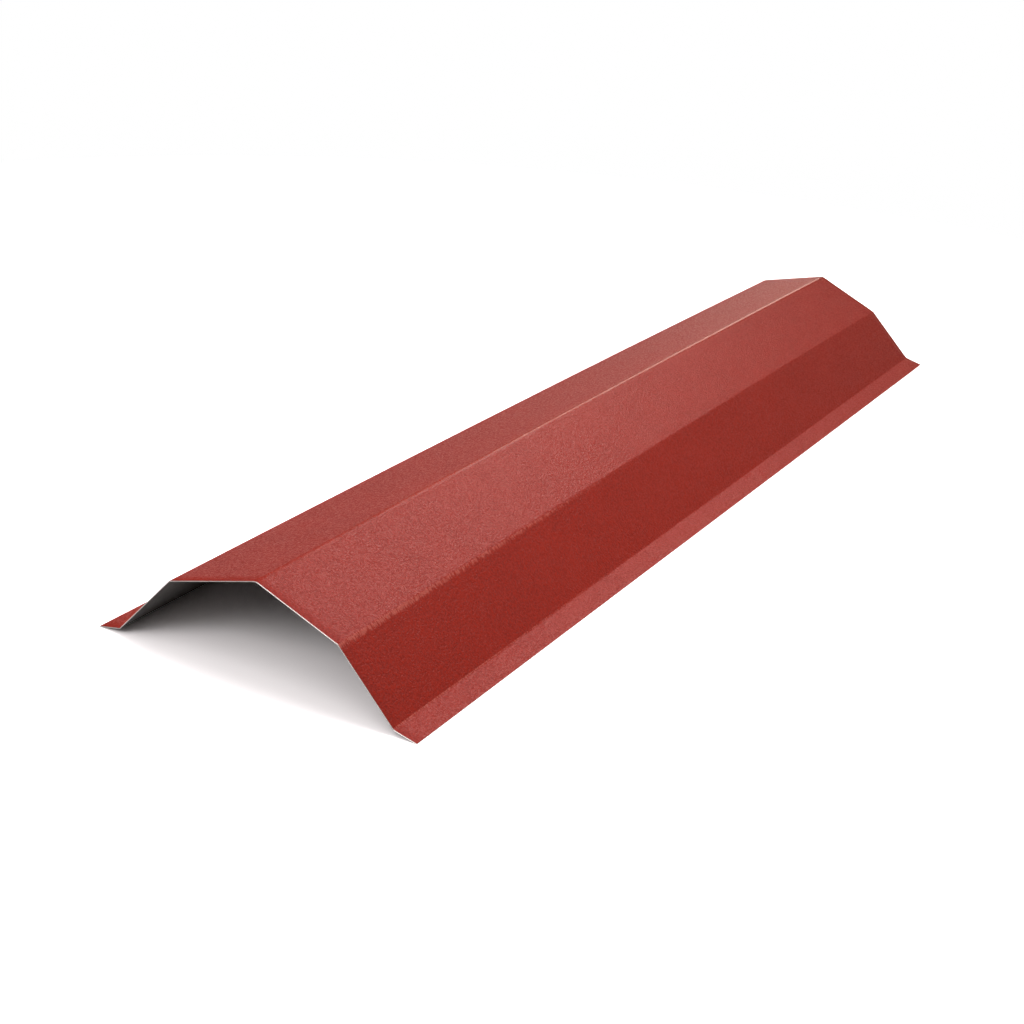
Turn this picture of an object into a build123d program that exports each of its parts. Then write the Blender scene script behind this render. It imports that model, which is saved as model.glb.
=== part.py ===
from build123d import *

import os
from math import cos, radians, sin

# Roof hip cap: one strip of pre-painted steel, folded along its length into a low ridge with two
# steep sides and a narrow lip along each long edge. Millimetres and degrees.
# X runs across the cap, Y along the hip and Z up. The origin is on the floor, under the middle.

# Driving dimensions. Leaf widths run over the painted face, between sharp fold lines.
cap_length = 1000.0
sheet_thickness = 0.5
inner_bend_radius = 2.5
ridge_leaf_width = 66.0
ridge_leaf_pitch = 19.0
side_leaf_width = 62.0
side_leaf_pitch = 46.0
lip_width = 17.0
lip_pitch = 12.5

# The leaves of one half, from the ridge outwards, each with its fall below level.
half_leaves = [
    (ridge_leaf_width, ridge_leaf_pitch),
    (side_leaf_width, side_leaf_pitch),
    (lip_width, lip_pitch),
]

# The sheet stands on the lower corner of each lip's cut edge.
lip_edge_height = sheet_thickness * cos(radians(lip_pitch))
ridge_height = lip_edge_height + sum(width * sin(radians(pitch)) for width, pitch in half_leaves)

# Ridge and shoulders fold down, so the painted face is outside the bend; at the lips it is inside.
outer_bend_radius = inner_bend_radius + sheet_thickness
bend_radii = [
    inner_bend_radius,
    outer_bend_radius,
    outer_bend_radius,
    outer_bend_radius,
    inner_bend_radius,
]

# Sharp fold lines of the right half, seen along the hip, and their mirror on the left.
right_folds = [Vector(0, ridge_height)]
for width, pitch in half_leaves:
    right_folds.append(right_folds[-1] + Vector(width, 0).rotate(Axis.Z, -pitch))
left_folds = [Vector(-fold.X, fold.Y) for fold in reversed(right_folds[1:])]

# The folded sheet: the painted face's line, thickened towards the underside and drawn out both ways.
with BuildPart() as hip_cap:
    with BuildSketch(Plane.XZ) as section:
        with BuildLine() as sheet_outline:
            FilletPolyline(*left_folds, *right_folds, radius=bend_radii)
            offset(amount=sheet_thickness, side=Side.RIGHT)
        make_face()
    extrude(amount=cap_length / 2, both=True)

hip_cap.part.label = "hip_cap"
os.makedirs("parts", exist_ok=True)
export_step(hip_cap.part, "parts/hip_cap.step")
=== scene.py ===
"""Looks of a roof hip cap: a folded steel sheet with a grained red coat, a grey back coat and bare cut edges.

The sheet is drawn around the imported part, in metres, in its frame: X across the cap, Y along the hip, Z up.
"""

from collections import namedtuple
from math import cos, radians, sin, tan

import bmesh
import bpy
from bpy.props import FloatProperty, FloatVectorProperty, PointerProperty
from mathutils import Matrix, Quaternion, Vector


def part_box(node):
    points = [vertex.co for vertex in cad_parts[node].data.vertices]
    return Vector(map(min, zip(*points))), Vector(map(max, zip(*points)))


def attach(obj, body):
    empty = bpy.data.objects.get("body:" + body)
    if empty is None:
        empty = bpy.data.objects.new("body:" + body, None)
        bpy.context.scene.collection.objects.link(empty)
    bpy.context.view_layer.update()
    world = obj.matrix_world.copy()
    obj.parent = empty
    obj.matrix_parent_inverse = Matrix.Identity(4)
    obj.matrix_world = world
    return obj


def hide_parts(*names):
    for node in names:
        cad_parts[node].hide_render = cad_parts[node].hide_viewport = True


bl_info = {
    "name": "Roof hip cap",
    "version": (1, 0, 0),
    "blender": (4, 5, 0),
    "location": "View3D > Sidebar > Hip cap",
    "description": "Folds a painted steel hip cap around its solid and sets it on a studio floor",
    "category": "Object",
}

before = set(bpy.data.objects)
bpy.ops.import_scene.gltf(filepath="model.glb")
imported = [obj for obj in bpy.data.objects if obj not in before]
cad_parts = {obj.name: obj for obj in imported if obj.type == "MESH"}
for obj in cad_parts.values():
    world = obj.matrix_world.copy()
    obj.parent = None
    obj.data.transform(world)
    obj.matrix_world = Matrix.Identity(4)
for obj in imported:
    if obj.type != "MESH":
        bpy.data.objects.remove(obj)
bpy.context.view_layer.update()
CAD_NODE = "hip_cap"
CAD_BODY = "root"

# How far the drawn section may differ from the solid's width and height before the script stops.
SIZE_TOLERANCE = 0.0005

# A place across the sheet: where its painted face is, which way it heads there, how far along the flat blank
# that is, how much the fold there has crazed the coat and is painted paler as a highlight, and how much it
# has smoothed the coat, each from 0 on a flat to 1.
Station = namedtuple("Station", "x z heading blank wear polish")

# A fold: its radius on the hollow side, how much its coat is crazed and painted paler as a highlight, how far
# that reaches onto the steep side leaf, and how much it is rubbed smooth.
Fold = namedtuple("Fold", "radius wear reach polish")

# Material numbers of the sheet's faces.
PAINTED, BACK, EDGE = range(3)

# Neighbouring faces that turn by more than this meet in a sharp edge; the folds' own steps turn by less.
SHARP_ANGLE = radians(50.0)

# Places of the painted face, the back and the cut edges on the sheet's map, as shares of its sides.
SHEET_SHARE = 0.47
PAINTED_U, BACK_U = 0.01, 0.52
LEFT_RIM_U, RIGHT_RIM_U = 0.488, 0.502
RIM_SHARE = 0.004
MAP_MARGIN = 0.01

# Heights over the horizon, in degrees, between which the studio's light changes from one part to the next.
BACKDROP_TOP = (1.5, 3.0)
HORIZON_TOP = (8.0, 20.0)
LOW_COLOUR_TOP = (10.0, 25.0)
CEILING_FOOT = (22.0, 45.0)

# How far along the hip a direction points where the walls in front give way to the ones behind.
FRONT_TO_BEHIND = (-0.3, 0.2)

# Distances from the cap's middle between which the floor's shadow fades into plain white.
SHADOW_FADE = (0.8, 1.2)

CAMERA_SENSOR = 36.0
FULL_SPAN = (0.0, 1.0)
WHITE = (1.0, 1.0, 1.0, 1.0)


class HipCapSheet(bpy.types.PropertyGroup):
    """Sizes and finishes of the folded sheet."""

    thickness: FloatProperty(
        name="Sheet thickness", description="Steel with its coats", default=0.0005, unit="LENGTH"
    )
    ridge_bend_radius: FloatProperty(
        name="Ridge bend radius", description="Radius under the ridge fold", default=0.006, unit="LENGTH"
    )
    shoulder_bend_radius: FloatProperty(
        name="Shoulder bend radius",
        description="Radius under the shoulder folds",
        default=0.0035,
        unit="LENGTH",
    )
    lip_bend_radius: FloatProperty(
        name="Lip bend radius", description="Radius over the lip folds", default=0.0025, unit="LENGTH"
    )
    ridge_leaf_width: FloatProperty(
        name="Ridge leaf width",
        description="From the ridge fold to a shoulder fold",
        default=0.066,
        unit="LENGTH",
    )
    ridge_leaf_pitch: FloatProperty(
        name="Ridge leaf pitch", description="Fall of the ridge leaf", default=radians(19.0), subtype="ANGLE"
    )
    side_leaf_width: FloatProperty(
        name="Side leaf width", description="From a shoulder fold to a lip fold", default=0.062, unit="LENGTH"
    )
    side_leaf_pitch: FloatProperty(
        name="Side leaf pitch", description="Fall of the side leaf", default=radians(46.0), subtype="ANGLE"
    )
    lip_width: FloatProperty(
        name="Lip width", description="From a lip fold to the outer cut edge", default=0.017, unit="LENGTH"
    )
    lip_pitch: FloatProperty(
        name="Lip pitch", description="Fall of the lip", default=radians(12.5), subtype="ANGLE"
    )
    crown_rise: FloatProperty(
        name="Crown rise",
        description="How far the sprung sheet stands up halfway along",
        default=0.0019,
        unit="LENGTH",
    )
    near_lean: FloatProperty(
        name="Near lean",
        description="Lean of the ridge at the near end",
        default=radians(1.26),
        subtype="ANGLE",
    )
    far_lean: FloatProperty(
        name="Far lean",
        description="Lean of the ridge at the far end",
        default=radians(3.59),
        subtype="ANGLE",
    )
    near_flare: FloatProperty(
        name="Near flare",
        description="How far the left shoulder stands out at the near end",
        default=0.0035,
        unit="LENGTH",
    )
    edge_roll: FloatProperty(
        name="Edge roll",
        description="How far shearing has rolled over the ends' painted edge",
        default=0.00025,
        unit="LENGTH",
    )
    coat_colour: FloatVectorProperty(
        name="Coat",
        description="Crests of the grained red coat",
        subtype="COLOR",
        size=3,
        default=(0.405, 0.0232, 0.0111),
    )
    pit_colour: FloatVectorProperty(
        name="Coat pits",
        description="Hollows of the coat's grain",
        subtype="COLOR",
        size=3,
        default=(0.27, 0.0145, 0.007),
    )
    # Paler coat of the folds: partly the stretched coat's crazing, partly a painted highlight.
    crazed_and_highlight_colour: FloatVectorProperty(
        name="Worn coat",
        description="Crazed coat on the folds",
        subtype="COLOR",
        size=3,
        default=(0.78, 0.2, 0.15),
    )
    back_colour: FloatVectorProperty(
        name="Back coat",
        description="Thin grey coat underneath",
        subtype="COLOR",
        size=3,
        default=(0.5, 0.455, 0.445),
    )
    edge_colour: FloatVectorProperty(
        name="Cut edge",
        description="Bare steel and zinc",
        subtype="COLOR",
        size=3,
        default=(1.0, 0.88, 0.84),
    )
    grain_size: FloatProperty(
        name="Grain size", description="Breadth of one grain of the coat", default=0.0014, unit="LENGTH"
    )
    grain_height: FloatProperty(
        name="Grain height",
        description="From pit to crest of the coat's grain",
        default=0.0005,
        unit="LENGTH",
    )
    # How far the folds are painted paler on their steep side: crazed coat, and a painted highlight over the
    # fold's shade.
    shoulder_crazing_and_highlight: FloatProperty(
        name="Shoulder wear", description="How pale the shoulder folds are", default=1.0, subtype="FACTOR"
    )
    lip_crazing_and_highlight: FloatProperty(
        name="Lip wear", description="How pale the lip folds are", default=0.8, subtype="FACTOR"
    )
    # The folds' crazing and painted highlight fade out over this length from the near end.
    crazing_and_highlight_length: FloatProperty(
        name="Worn length",
        description="How far from the near end the folds look worn",
        default=0.55,
        unit="LENGTH",
    )
    rubbed_from: FloatProperty(
        name="Rubbed from",
        description="How far from the near end the ridge is rubbed fully smooth",
        default=0.35,
        unit="LENGTH",
    )


class HipCapStage(bpy.types.PropertyGroup):
    """Camera, lamps and floor around the cap."""

    camera_place: FloatVectorProperty(
        name="Camera",
        description="Where the camera stands",
        subtype="XYZ",
        size=3,
        default=(0.5848, -1.3112, 0.5408),
    )
    camera_azimuth: FloatProperty(
        name="Azimuth",
        description="Turn of the view from along the hip",
        default=radians(27.085),
        subtype="ANGLE",
    )
    camera_elevation: FloatProperty(
        name="Elevation", description="How far the view looks down", default=radians(22.457), subtype="ANGLE"
    )
    camera_roll: FloatProperty(
        name="Roll", description="Tilt of the picture", default=radians(5.693), subtype="ANGLE"
    )
    camera_lens: FloatProperty(name="Lens", description="Focal length in millimetres", default=63.195)
    floor_size: FloatProperty(
        name="Floor", description="Side of the studio floor", default=60.0, unit="LENGTH"
    )
    key_place: FloatVectorProperty(
        name="Front lamp",
        description="Where the front lamp hangs",
        subtype="XYZ",
        size=3,
        default=(-0.15, -1.6, 1.6),
    )
    key_size: FloatProperty(
        name="Front lamp size", description="Side of the front lamp", default=2.0, unit="LENGTH"
    )
    key_power: FloatProperty(
        name="Front lamp power", description="Power of the front lamp", default=10.5, unit="POWER"
    )
    low_place: FloatVectorProperty(
        name="Low lamp",
        description="Where the lower front lamp hangs",
        subtype="XYZ",
        size=3,
        default=(-0.4, -2.0, 1.2),
    )
    low_size: FloatProperty(
        name="Low lamp size", description="Side of the lower front lamp", default=0.8, unit="LENGTH"
    )
    low_power: FloatProperty(
        name="Low lamp power", description="Power of the lower front lamp", default=6.0, unit="POWER"
    )
    top_place: FloatVectorProperty(
        name="Top lamp",
        description="Where the lamp above the cap hangs",
        subtype="XYZ",
        size=3,
        default=(0.27, -0.2, 0.97),
    )
    top_size: FloatProperty(
        name="Top lamp size", description="Side of the top lamp", default=0.6, unit="LENGTH"
    )
    top_power: FloatProperty(
        name="Top lamp power", description="Power of the top lamp", default=4.3, unit="POWER"
    )
    back_place: FloatVectorProperty(
        name="Back lamp",
        description="Where the back lamp hangs",
        subtype="XYZ",
        size=3,
        default=(-0.1, 1.45, 1.8),
    )
    back_size: FloatProperty(
        name="Back lamp size", description="Side of the back lamp", default=1.2, unit="LENGTH"
    )
    back_power: FloatProperty(
        name="Back lamp power", description="Power of the back lamp", default=18.0, unit="POWER"
    )
    rim_place: FloatVectorProperty(
        name="Rim lamp",
        description="Where the strip lamp at the back stands",
        subtype="XYZ",
        size=3,
        default=(-1.18, 3.0, 1.22),
    )
    rim_length: FloatProperty(
        name="Rim lamp length", description="Length of the strip lamp", default=1.3, unit="LENGTH"
    )
    rim_width: FloatProperty(
        name="Rim lamp width", description="Width of the strip lamp", default=0.55, unit="LENGTH"
    )
    rim_roll: FloatProperty(
        name="Rim lamp roll", description="Rise of the strip", default=radians(45.0), subtype="ANGLE"
    )
    rim_power: FloatProperty(
        name="Rim lamp power", description="Power of the strip lamp", default=9.5, unit="POWER"
    )
    rim_colour: FloatVectorProperty(
        name="Rim light",
        description="Colour of the strip lamp",
        subtype="COLOR",
        size=3,
        default=(1.0, 0.82, 0.68),
    )
    horizon_light: FloatProperty(
        name="Horizon light", description="Light from the far walls' foot", default=0.19
    )
    wall_light: FloatProperty(name="Wall light", description="Light from the far walls", default=0.12)
    front_share: FloatProperty(
        name="Front share", description="How much of the walls' light comes from in front", default=0.15
    )
    ceiling_light: FloatProperty(name="Ceiling light", description="Light from overhead", default=0.37)
    low_colour: FloatVectorProperty(
        name="Low light",
        description="Colour of the light from low down",
        subtype="COLOR",
        size=3,
        default=(1.0, 0.91, 0.62),
    )
    paper_white: FloatProperty(
        name="Paper", description="How much light the floor sends back up", default=0.2
    )
    paper_mirrored: FloatProperty(
        name="Mirrored paper", description="How white the floor is in reflections", default=0.85
    )
    # The exposure's warm tint shows only in the cap's shadow, where it paints the red sheet's bounced light.
    paper_exposure_and_bounce_tint: FloatVectorProperty(
        name="Paper exposure",
        description="How bright the lit floor looks",
        subtype="COLOR",
        size=3,
        default=(2.22, 2.11, 2.12),
    )


# Shader nodes


def new_material(name):
    """A material with an empty node tree."""
    material = bpy.data.materials.new(name)
    material.use_nodes = True
    material.node_tree.nodes.clear()
    return material


def add_node(tree, kind, inputs=None, **settings):
    """A shader node with its settings, and its inputs by name or number: values or other nodes' outputs."""
    node = tree.nodes.new(kind)
    for name, value in settings.items():
        setattr(node, name, value)
    for name, value in (inputs or {}).items():
        if isinstance(value, bpy.types.NodeSocket):
            tree.links.new(value, node.inputs[name])
        else:
            node.inputs[name].default_value = value
    return node


def combine(tree, operation, first, second):
    """The output of a maths node on two values."""
    return add_node(tree, "ShaderNodeMath", {0: first, 1: second}, operation=operation).outputs[0]


def mix_colours(tree, share, first, second):
    """The output of a colour mix: first where share is 0, second where it is 1."""
    mix = tree.nodes.new("ShaderNodeMix")
    mix.data_type = "RGBA"
    sockets = [mix.inputs[0], mix.inputs[6], mix.inputs[7]]
    for socket, value in zip(sockets, (share, first, second)):
        if isinstance(value, bpy.types.NodeSocket):
            tree.links.new(value, socket)
        else:
            socket.default_value = value
    return mix.outputs[2]


def mix_shaders(tree, share, first, second):
    """The output of a shader mix: first where share is 0, second where it is 1."""
    return add_node(tree, "ShaderNodeMixShader", {0: share, 1: first, 2: second}).outputs[0]


def remap(tree, value, span, results):
    """The output of a node that maps a value's span to another, clamped."""
    node = add_node(
        tree,
        "ShaderNodeMapRange",
        {
            "Value": value,
            "From Min": span[0],
            "From Max": span[1],
            "To Min": results[0],
            "To Max": results[1],
        },
    )
    return node.outputs["Result"]


def noise(tree, place, size, detail=2.0, roughness=0.5, distortion=0.0):
    """The output of a noise texture whose lumps are about as broad as the given size."""
    node = add_node(
        tree,
        "ShaderNodeTexNoise",
        {
            "Vector": place,
            "Scale": 1.0 / size,
            "Detail": detail,
            "Roughness": roughness,
            "Distortion": distortion,
        },
    )
    return node.outputs["Fac"]


def object_place(tree):
    """Coordinates in the object's own frame."""
    return add_node(tree, "ShaderNodeTexCoord").outputs["Object"]


def stretched(tree, place, scale):
    """Coordinates scaled apart along each axis."""
    return add_node(tree, "ShaderNodeMapping", {"Vector": place, "Scale": scale}).outputs["Vector"]


def corner_value(tree, name):
    """The output of a value that the mesh keeps at its corners."""
    return add_node(tree, "ShaderNodeAttribute", attribute_name=name).outputs["Fac"]


def mirrored_ray(tree, ray):
    """1 for rays that come off gloss or through glass, from a light path node's outputs."""
    return combine(tree, "MAXIMUM", ray["Is Glossy Ray"], ray["Is Transmission Ray"])


def rgba(colour, shade=1.0):
    """A colour property as the four numbers a socket takes, lightened or darkened by the shade."""
    return (*(min(1.0, part * shade) for part in colour), 1.0)


def finish_material(tree, shader):
    """Sends a shader to the material's output."""
    add_node(tree, "ShaderNodeOutputMaterial", {"Surface": shader})


def red_coat(sheet):
    """Matt red coat with a fine raised grain, crazed where the folds have stretched it and painted paler
    there as a highlight.
    """
    pit_to_crest = (0.35, 0.62)
    grain_roughness = (0.53, 0.31)
    mottle_size, mottle_span, mottle_share, mottle_shade = 0.045, (0.3, 0.7), 0.3, 1.06
    stroke_size, stroke_stretch = 0.0011, (0.2, 1.0, 0.2)
    stroke_span, stroke_strength = (0.35, 0.65), (0.3, 1.7)
    crazed_and_highlit_span, crazed_and_highlit_share = (0.32, 0.75), 0.46
    rubbed_grain, rubbed_gloss = 0.1, 0.15

    material = new_material("grained_red_coat")
    tree = material.node_tree
    place = object_place(tree)
    grain = noise(tree, place, sheet.grain_size, detail=1.0, distortion=0.8)
    mottle = noise(tree, place, mottle_size, detail=3.0, roughness=0.6)
    fold_strokes = noise(tree, stretched(tree, place, stroke_stretch), stroke_size)
    wear = corner_value(tree, "wear")
    polish = corner_value(tree, "polish")

    crests = remap(tree, grain, pit_to_crest, FULL_SPAN)
    grained = mix_colours(tree, crests, rgba(sheet.pit_colour), rgba(sheet.coat_colour))
    lighter = remap(tree, mottle, mottle_span, (0.0, mottle_share))
    mottled = mix_colours(tree, lighter, grained, rgba(sheet.coat_colour, shade=mottle_shade))
    # Paler strokes along the folds: crazed coat, and a painted highlight that lightens the fold's shaded
    # side.
    crazed_and_highlit = combine(tree, "MULTIPLY", wear, remap(tree, fold_strokes, stroke_span, stroke_strength))
    paler_by_crazing_and_highlight = remap(tree, crazed_and_highlit, crazed_and_highlit_span, (0.0, crazed_and_highlit_share))
    worn_and_highlit = mix_colours(tree, paler_by_crazing_and_highlight, mottled, rgba(sheet.crazed_and_highlight_colour))

    raised = remap(tree, polish, FULL_SPAN, (1.0, rubbed_grain))
    bump = add_node(
        tree, "ShaderNodeBump", {"Height": grain, "Strength": raised, "Distance": sheet.grain_height}
    )
    matt = remap(tree, grain, pit_to_crest, grain_roughness)
    smoothed = remap(tree, polish, FULL_SPAN, (0.0, rubbed_gloss))
    shader = add_node(
        tree,
        "ShaderNodeBsdfPrincipled",
        {
            "Base Color": worn_and_highlit,
            "Roughness": combine(tree, "SUBTRACT", matt, smoothed),
            "Specular IOR Level": 0.2,
            "Normal": bump.outputs["Normal"],
        },
    )
    finish_material(tree, shader.outputs["BSDF"])
    return material


def grey_back_coat(sheet):
    """Thin grey primer of the underside, with faint marks of the coating roll along the strip."""
    streak_size, streak_stretch = 0.0024, (1.0, 0.04, 1.0)
    streak_shades = (0.9, 1.1)
    speckle_size, speckle_height = 0.0006, 0.00002
    speckle_span, speckle_roughness = (0.3, 0.7), (0.5, 0.62)

    material = new_material("grey_back_coat")
    tree = material.node_tree
    place = object_place(tree)
    streaks = noise(tree, stretched(tree, place, streak_stretch), streak_size)
    speckle = noise(tree, place, speckle_size, detail=1.0)
    darker, lighter = [rgba(sheet.back_colour, shade=shade) for shade in streak_shades]
    bump = add_node(
        tree, "ShaderNodeBump", {"Height": speckle, "Strength": 1.0, "Distance": speckle_height}
    )
    shader = add_node(
        tree,
        "ShaderNodeBsdfPrincipled",
        {
            "Base Color": mix_colours(tree, streaks, darker, lighter),
            "Roughness": remap(tree, speckle, speckle_span, speckle_roughness),
            "Normal": bump.outputs["Normal"],
        },
    )
    finish_material(tree, shader.outputs["BSDF"])
    return material


def bare_cut_edge(sheet):
    """Sheared steel between two thin coats, with fine uneven marks of the shear."""
    mark_size, mark_shade = 0.0011, 0.86
    mark_span, mark_roughness = (0.3, 0.7), (0.3, 0.45)

    material = new_material("bare_cut_edge")
    tree = material.node_tree
    marks = noise(tree, object_place(tree), mark_size)
    dulled = rgba(sheet.edge_colour, shade=mark_shade)
    shader = add_node(
        tree,
        "ShaderNodeBsdfPrincipled",
        {
            "Base Color": mix_colours(tree, marks, dulled, rgba(sheet.edge_colour)),
            "Metallic": 1.0,
            "Roughness": remap(tree, marks, mark_span, mark_roughness),
        },
    )
    finish_material(tree, shader.outputs["BSDF"])
    return material


def studio_floor(stage):
    """White paper, seen overexposed with only the core of the cap's shadow, and plain white further off."""
    material = new_material("studio_floor")
    tree = material.node_tree
    ray = add_node(tree, "ShaderNodeLightPath").outputs
    mirrored = mirrored_ray(tree, ray)
    seen = combine(tree, "MAXIMUM", ray["Is Camera Ray"], mirrored)
    # The exposure's warm tint paints red light bounced off the sheet into the shadow.
    paper = mix_colours(tree, mirrored, (*stage.paper_exposure_and_bounce_tint, 1.0), rgba([stage.paper_mirrored] * 3))
    shadowed = add_node(tree, "ShaderNodeBsdfDiffuse", {"Color": paper}).outputs[0]
    white = add_node(tree, "ShaderNodeEmission", {"Color": WHITE}).outputs[0]
    place = object_place(tree)
    distance = add_node(tree, "ShaderNodeVectorMath", {0: place}, operation="LENGTH").outputs["Value"]
    shown = mix_shaders(tree, remap(tree, distance, SHADOW_FADE, FULL_SPAN), shadowed, white)
    bounced = add_node(tree, "ShaderNodeBsdfDiffuse", {"Color": rgba([stage.paper_white] * 3)}).outputs[0]
    finish_material(tree, mix_shaders(tree, seen, bounced, shown))
    return material


# The folded sheet


def face_radius(sheet, inner_radius, turn):
    """Bend radius on the painted face: outside a fold that turns down and inside one that turns up."""
    return inner_radius + (sheet.thickness if turn < 0 else 0.0)


def flat_steps(width, step, supports):
    """Distances across a flat: even steps, and narrow ones at each end for the fold's rounding, crazing and
    painted highlight.
    """
    widest = supports[-1]
    count = max(1, round((width - 2 * widest) / step))
    inner = [widest + (width - 2 * widest) * number / count for number in range(1, count)]
    return [0.0, *supports, *inner, *(width - support for support in reversed(supports)), width]


def folded_line(sheet, flat_step=0.008, fold_supports=(0.0008, 0.0045), fold_steps=8):
    """Stations of the painted face across the cap, from the left cut edge to the right one."""
    rising = [
        (sheet.lip_width, sheet.lip_pitch),
        (sheet.side_leaf_width, sheet.side_leaf_pitch),
        (sheet.ridge_leaf_width, sheet.ridge_leaf_pitch),
    ]
    leaves = rising + [(width, -pitch) for width, pitch in reversed(rising)]
    turns = [after[1] - before[1] for before, after in zip(leaves, leaves[1:])]
    narrow, wide = fold_supports
    cut_edge = Fold(0.0, 0.0, narrow, 0.0)
    lip = Fold(sheet.lip_bend_radius, sheet.lip_crazing_and_highlight, narrow, 0.0)
    shoulder = Fold(sheet.shoulder_bend_radius, sheet.shoulder_crazing_and_highlight, wide, 0.0)
    ridge = Fold(sheet.ridge_bend_radius, 0.0, narrow, 1.0)
    folds = [lip, shoulder, ridge, shoulder, lip]
    bounds = [cut_edge, *folds, cut_edge]
    radii = [face_radius(sheet, fold.radius, turn) for fold, turn in zip(folds, turns)]
    setbacks = [0.0, *(radius * tan(abs(turn) / 2) for radius, turn in zip(radii, turns)), 0.0]
    half_width = sum(width * cos(pitch) for width, pitch in rising)
    place = Vector((-half_width, sheet.thickness * cos(sheet.lip_pitch)))
    blank = 0.0
    stations = []

    # A fold's crazing and painted highlight, fading out across the flat beside it.
    def worn_and_highlit(fold, distance):
        return fold.wear * max(0.0, 1.0 - distance / fold.reach)

    for number, (width, pitch) in enumerate(leaves):
        steep = abs(pitch) == sheet.side_leaf_pitch
        before, after = bounds[number], bounds[number + 1]
        flat = width - setbacks[number] - setbacks[number + 1]
        polish_at = {0.0: before.polish / 2, flat: after.polish / 2}
        for step in flat_steps(flat, flat_step, fold_supports):
            here = place + step * Vector((cos(pitch), sin(pitch)))
            wear = max(worn_and_highlit(before, step), worn_and_highlit(after, flat - step)) if steep else 0.0
            stations.append(Station(here.x, here.y, pitch, blank + step, wear, polish_at.get(step, 0.0)))
        place = here
        blank += flat
        if number == len(turns):
            break
        turn, radius = turns[number], radii[number]
        for share in [step / fold_steps for step in range(1, fold_steps + 1)]:
            chord = 2 * radius * sin(abs(turn) * share / 2)
            middle = pitch + turn * share / 2
            here = place + chord * Vector((cos(middle), sin(middle)))
            if share < 1.0:
                bent = blank + radius * abs(turn) * share
                wear = after.wear * (1.0 - share if steep else share)
                stations.append(Station(here.x, here.y, pitch + turn * share, bent, wear, after.polish))
        place = here
        blank += radius * abs(turn)
    return stations


def sprung_place(sheet, station, y, length):
    """A station's place along the cap, with the crown, lean and flare that a long springy sheet keeps."""
    foot = sheet.thickness + sheet.lip_width * sin(sheet.lip_pitch)
    shoulder = foot + sheet.side_leaf_width * sin(sheet.side_leaf_pitch)
    ridge = shoulder + sheet.ridge_leaf_width * sin(sheet.ridge_leaf_pitch)
    reach = sheet.ridge_leaf_width * cos(sheet.ridge_leaf_pitch)
    along = y / length + 0.5
    crown = sheet.crown_rise * (1.0 - (2.0 * along - 1.0) ** 2)
    lean = sheet.near_lean + (sheet.far_lean - sheet.near_lean) * along
    raised = min(1.0, max(0.0, (station.z - foot) / (shoulder - foot)))
    side = min(1.0, max(-1.0, station.x / reach))
    sway = lean * (max(shoulder, station.z) - (shoulder + ridge) / 2)
    flare = sheet.near_flare * (1.0 - along) * min(0.0, side)
    x = station.x + raised * (sway + flare)
    z = station.z + raised * (crown - lean * reach * side)
    return Vector((x, y, z))


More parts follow.
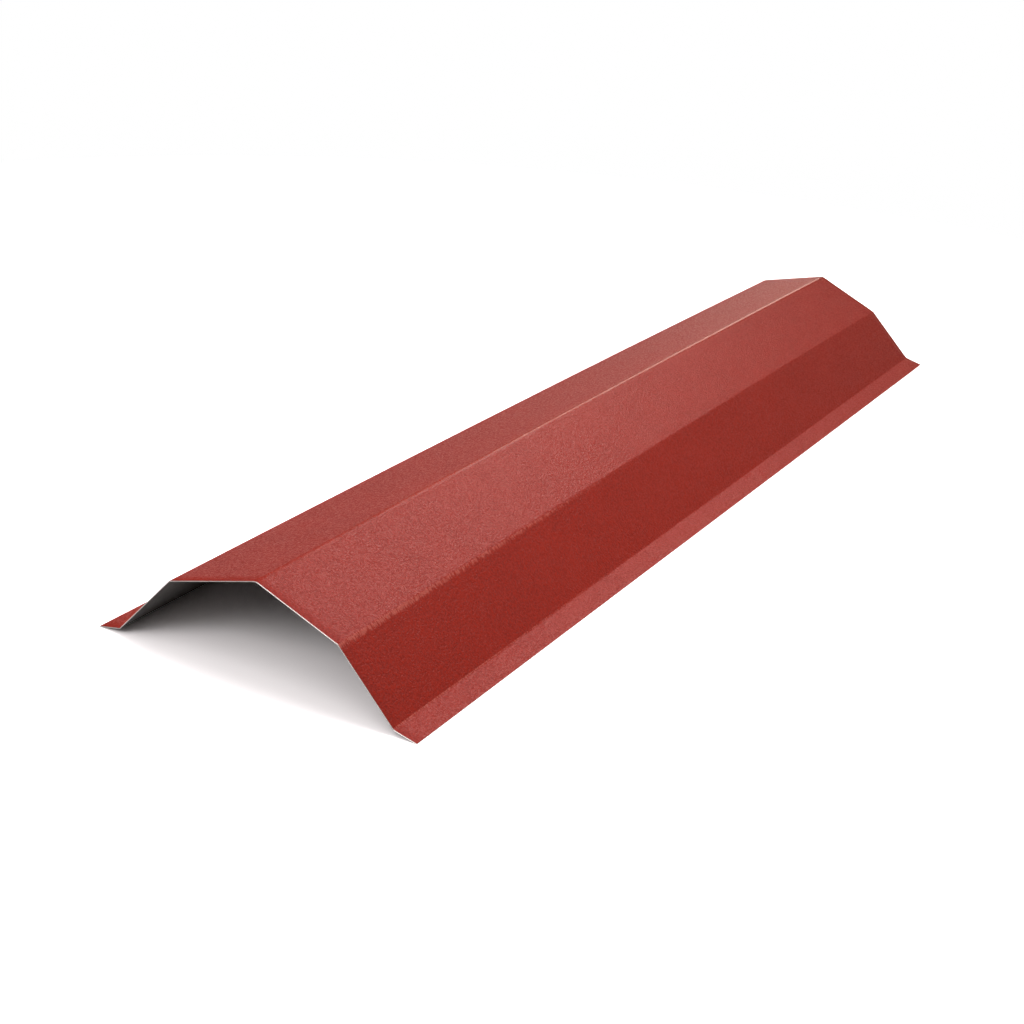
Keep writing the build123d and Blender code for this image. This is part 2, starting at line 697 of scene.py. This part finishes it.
def sheet_mesh(sheet, length, rows=100):
    """The closed mesh of the folded sheet: painted face, back and cut edges, each with its own material."""
    stations = folded_line(sheet)
    last = len(stations) - 1
    strip = stations[-1].blank
    build = bmesh.new()
    crazing_and_highlight_layer = build.verts.layers.float.new("wear")
    polish_layer = build.verts.layers.float.new("polish")
    map_layer = build.loops.layers.uv.new("OFBake")
    painted, back = [], []
    rolled = {0: [], rows: []}
    last_top = length / 2 - sheet.edge_roll
    for row in range(rows + 1):
        y = length * (row / rows - 0.5)
        top_y = min(last_top, max(-last_top, y))
        from_near = length * row / rows
        # The folds' crazing and painted highlight fade away from the near end.
        worn_and_highlit = max(0.0, 1.0 - from_near / sheet.crazing_and_highlight_length)
        rubbed = min(1.0, from_near / sheet.rubbed_from)
        tops, unders = [], []
        for station in stations:
            outward = Vector((-sin(station.heading), 0.0, cos(station.heading)))
            end = sprung_place(sheet, station, y, length)
            drawn = [
                (tops, sprung_place(sheet, station, top_y, length)),
                (unders, end - sheet.thickness * outward),
            ]
            if row in rolled:
                drawn.append((rolled[row], end - sheet.edge_roll * outward))
            for corners, place in drawn:
                corner = build.verts.new(place)
                corner[crazing_and_highlight_layer] = station.wear * worn_and_highlit
                corner[polish_layer] = station.polish * rubbed
                corners.append(corner)
        painted.append(tops)
        back.append(unders)

    def add_face(corners, places, material):
        face = build.faces.new(corners)
        face.material_index = material
        face.smooth = material != EDGE
        for loop, place in zip(face.loops, places):
            loop[map_layer].uv = place

    def across_map(column, first_u):
        return first_u + SHEET_SHARE * stations[column].blank / strip

    def along_map(row):
        return MAP_MARGIN + (1.0 - 2.0 * MAP_MARGIN) * row / rows

    def rim_share(side):
        if side is painted:
            return 0.0
        return RIM_SHARE if side is back else RIM_SHARE * sheet.edge_roll / sheet.thickness

    for row in range(rows):
        for column in range(last):
            ring = [(row, column), (row, column + 1), (row + 1, column + 1), (row + 1, column)]
            places = [(across_map(c, PAINTED_U), along_map(r)) for r, c in ring]
            add_face([painted[r][c] for r, c in ring], places, PAINTED)
            ring.reverse()
            places = [(across_map(c, BACK_U), along_map(r)) for r, c in ring]
            add_face([back[r][c] for r, c in ring], places, BACK)
        for column, rim_u in ((0, LEFT_RIM_U), (last, RIGHT_RIM_U)):
            ring = [(painted, row), (painted, row + 1), (back, row + 1), (back, row)]
            if row + 1 in rolled:
                ring.insert(2, (rolled, row + 1))
            if row in rolled:
                ring.append((rolled, row))
            if column == last:
                ring.reverse()
            places = [(rim_u + rim_share(side), along_map(r)) for side, r in ring]
            add_face([side[r][column] for side, r in ring], places, EDGE)
    for row, rim_v in ((0, 0.0), (rows, 1.0 - RIM_SHARE)):
        for upper, lower in ((painted, rolled), (rolled, back)):
            for column in range(last):
                ring = [(upper, column), (lower, column), (lower, column + 1), (upper, column + 1)]
                if row == rows:
                    ring.reverse()
                places = [(across_map(c, PAINTED_U), rim_v + rim_share(side)) for side, c in ring]
                add_face([side[row][c] for side, c in ring], places, EDGE)
    mesh = bpy.data.meshes.new("hip_cap_sheet")
    build.to_mesh(mesh)
    build.free()
    mesh.set_sharp_from_angle(angle=SHARP_ANGLE)
    return mesh


class HIPCAP_OT_fold_sheet(bpy.types.Operator):
    """Fold the painted sheet around the solid of the cap"""

    bl_idname = "hip_cap.fold_sheet"
    bl_label = "Fold the sheet"

    def execute(self, context):
        sheet = context.scene.hip_cap_sheet
        low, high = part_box(CAD_NODE)
        drawn = folded_line(sheet)
        height = max(station.z for station in drawn)
        width = drawn[-1].x - drawn[0].x
        misfit = max(abs(height - (high.z - low.z)), abs(width - (high.x - low.x)))
        if misfit > SIZE_TOLERANCE:
            raise ValueError("the sheet's sizes differ from the solid's: give both the same leaves")
        mesh = sheet_mesh(sheet, high.y - low.y)
        for material in (red_coat(sheet), grey_back_coat(sheet), bare_cut_edge(sheet)):
            mesh.materials.append(material)
        piece = bpy.data.objects.new("hip_cap_sheet", mesh)
        context.scene.collection.objects.link(piece)
        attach(piece, CAD_BODY)
        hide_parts(CAD_NODE)
        return {"FINISHED"}


# The stage


def add_floor(scene, stage):
    """A level floor under the cap, wide enough to fill the picture."""
    half = stage.floor_size / 2
    mesh = bpy.data.meshes.new("studio_floor")
    corners = [(-half, -half, 0.0), (half, -half, 0.0), (half, half, 0.0), (-half, half, 0.0)]
    mesh.from_pydata(corners, [], [(0, 1, 2, 3)])
    mesh.materials.append(studio_floor(stage))
    floor = bpy.data.objects.new("studio_floor", mesh)
    scene.collection.objects.link(floor)


def add_lamp(scene, name, place, size, power, width=None, roll=0.0, colour=(1.0, 1.0, 1.0)):
    """A soft lamp, square unless it has its own width, that hangs at a place and faces the cap."""
    lamp = bpy.data.lights.new(name, "AREA")
    lamp.shape = "RECTANGLE"
    lamp.size = size
    lamp.size_y = width or size
    lamp.energy = power
    lamp.color = colour
    hung = bpy.data.objects.new(name, lamp)
    hung.location = place
    hung.rotation_mode = "QUATERNION"
    hung.rotation_quaternion = (-Vector(place)).to_track_quat("-Z", "Y") @ Quaternion((0.0, 0.0, 1.0), roll)
    hung.visible_camera = False
    scene.collection.objects.link(hung)


def add_surroundings(scene, stage):
    """Light from all round: a warm horizon, darker walls, dimmer in front, and a bright ceiling.

    The camera sees white there, and so do reflections as far up as the backdrop reaches.
    """
    world = bpy.data.worlds.new("studio")
    world.use_nodes = True
    tree = world.node_tree
    tree.nodes.clear()
    direction = add_node(tree, "ShaderNodeTexCoord").outputs["Generated"]
    parts = add_node(tree, "ShaderNodeSeparateXYZ", {"Vector": direction}).outputs

    def by_height(degrees, results):
        return remap(tree, parts["Z"], [sin(radians(angle)) for angle in degrees], results)

    wall = by_height(HORIZON_TOP, (stage.horizon_light, stage.wall_light))
    behind = remap(tree, parts["Y"], FRONT_TO_BEHIND, (stage.front_share, 1.0))
    lower = combine(tree, "MULTIPLY", wall, behind)
    upper = by_height(CEILING_FOOT, (0.0, stage.ceiling_light - stage.wall_light))
    strength = combine(tree, "ADD", lower, upper)
    colour = mix_colours(tree, by_height(LOW_COLOUR_TOP, FULL_SPAN), rgba(stage.low_colour), WHITE)
    light = add_node(tree, "ShaderNodeBackground", {"Color": colour, "Strength": strength}).outputs[0]
    white = add_node(tree, "ShaderNodeBackground", {"Color": WHITE}).outputs[0]
    ray = add_node(tree, "ShaderNodeLightPath").outputs
    reflected = combine(tree, "MULTIPLY", mirrored_ray(tree, ray), by_height(BACKDROP_TOP, (1.0, 0.0)))
    seen = combine(tree, "MAXIMUM", ray["Is Camera Ray"], reflected)
    add_node(tree, "ShaderNodeOutputWorld", {"Surface": mix_shaders(tree, seen, light, white)})
    scene.world = world


def add_camera(scene, stage):
    """The camera at the photograph's viewing angle."""
    lens = bpy.data.cameras.new("camera")
    lens.lens = stage.camera_lens
    lens.sensor_width = CAMERA_SENSOR
    camera = bpy.data.objects.new("camera", lens)
    camera.location = stage.camera_place
    turn, fall = stage.camera_azimuth, stage.camera_elevation
    ahead = Vector((-sin(turn) * cos(fall), cos(turn) * cos(fall), -sin(fall)))
    roll = Quaternion((0.0, 0.0, 1.0), stage.camera_roll)
    camera.rotation_mode = "QUATERNION"
    camera.rotation_quaternion = ahead.to_track_quat("-Z", "Y") @ roll
    scene.collection.objects.link(camera)
    scene.camera = camera


class HIPCAP_OT_set_stage(bpy.types.Operator):
    """Set the floor, the lamps and the camera around the cap"""

    bl_idname = "hip_cap.set_stage"
    bl_label = "Set the stage"

    def execute(self, context):
        stage = context.scene.hip_cap_stage
        add_floor(context.scene, stage)
        add_lamp(context.scene, "front_lamp", stage.key_place, stage.key_size, stage.key_power)
        add_lamp(context.scene, "low_lamp", stage.low_place, stage.low_size, stage.low_power)
        add_lamp(context.scene, "top_lamp", stage.top_place, stage.top_size, stage.top_power)
        add_lamp(context.scene, "back_lamp", stage.back_place, stage.back_size, stage.back_power)
        add_lamp(
            context.scene,
            "rim_lamp",
            stage.rim_place,
            stage.rim_length,
            stage.rim_power,
            width=stage.rim_width,
            roll=stage.rim_roll,
            colour=stage.rim_colour,
        )
        add_surroundings(context.scene, stage)
        add_camera(context.scene, stage)
        context.scene.view_settings.view_transform = "Standard"
        return {"FINISHED"}


class VIEW3D_PT_hip_cap(bpy.types.Panel):
    """Lists the cap's sizes and its steps in the sidebar"""

    bl_label = "Hip cap"
    bl_idname = "VIEW3D_PT_hip_cap"
    bl_space_type = "VIEW_3D"
    bl_region_type = "UI"
    bl_category = "Hip cap"

    def draw(self, context):
        steps = (
            (context.scene.hip_cap_sheet, HIPCAP_OT_fold_sheet),
            (context.scene.hip_cap_stage, HIPCAP_OT_set_stage),
        )
        for group, step in steps:
            column = self.layout.column()
            for name in group.__annotations__:
                column.prop(group, name)
            column.operator(step.bl_idname)


CLASSES = (HipCapSheet, HipCapStage, HIPCAP_OT_fold_sheet, HIPCAP_OT_set_stage, VIEW3D_PT_hip_cap)


def register():
    for each in CLASSES:
        bpy.utils.register_class(each)
    bpy.types.Scene.hip_cap_sheet = PointerProperty(type=HipCapSheet)
    bpy.types.Scene.hip_cap_stage = PointerProperty(type=HipCapStage)


def unregister():
    del bpy.types.Scene.hip_cap_stage
    del bpy.types.Scene.hip_cap_sheet
    for each in reversed(CLASSES):
        bpy.utils.unregister_class(each)


def main():
    """Makes the cap and its stage."""
    register()
    bpy.ops.hip_cap.fold_sheet()
    bpy.ops.hip_cap.set_stage()


if __name__ == "__main__":
    main()
